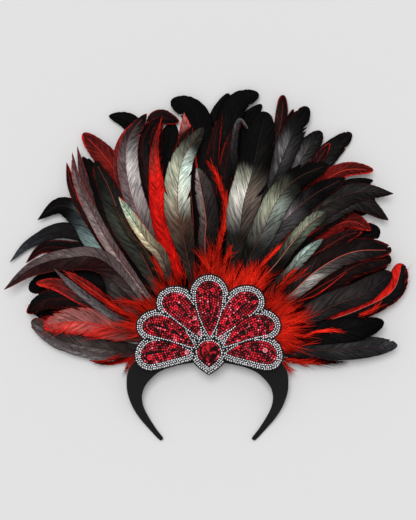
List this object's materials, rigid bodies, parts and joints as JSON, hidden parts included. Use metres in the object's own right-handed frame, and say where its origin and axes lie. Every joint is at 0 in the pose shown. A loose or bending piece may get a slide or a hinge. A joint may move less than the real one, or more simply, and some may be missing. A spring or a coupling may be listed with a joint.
{
  "type": "carnival feather headdress",
  "caption": "Felt horseshoe hair band with a beaded fan palmette at the brow and a wide spread of black, red and iridescent feathers behind it, lying on its back.",
  "frame": {"origin": "on the surface it lies on, under the middle of the headdress's outline", "axes": "+X to the right in the picture, +Y up in the picture from the band's tips to the feather tips, +Z the front of the headdress"},
  "size_m": [0.4056, 0.3538, 0.041],
  "materials": {
    "felt": "matte black felt",
    "plume": "glossy black cock feathers with red, grey and iridescent green sheen",
    "fluff": "soft red down",
    "silver_bead": "bright silver beads",
    "red_sequin": "glossy red sequins and beads",
    "stone": "polished dark red faceted drop"
  },
  "bodies": {
    "root": {"headband": "felt", "applique_backing": "felt", "feather_row_back": "plume", "feather_row_middle": "plume", "feather_row_front": "plume", "fluff_collar": "fluff", "silver_border": "silver_bead", "centre_shield": "red_sequin", "centre_stone": "stone", "petal_centre": "red_sequin", "petal_upper_left": "red_sequin", "petal_upper_right": "red_sequin", "petal_middle_left": "red_sequin", "petal_middle_right": "red_sequin", "petal_lower_left": "red_sequin", "petal_lower_right": "red_sequin"}
  },
  "joints": []
}
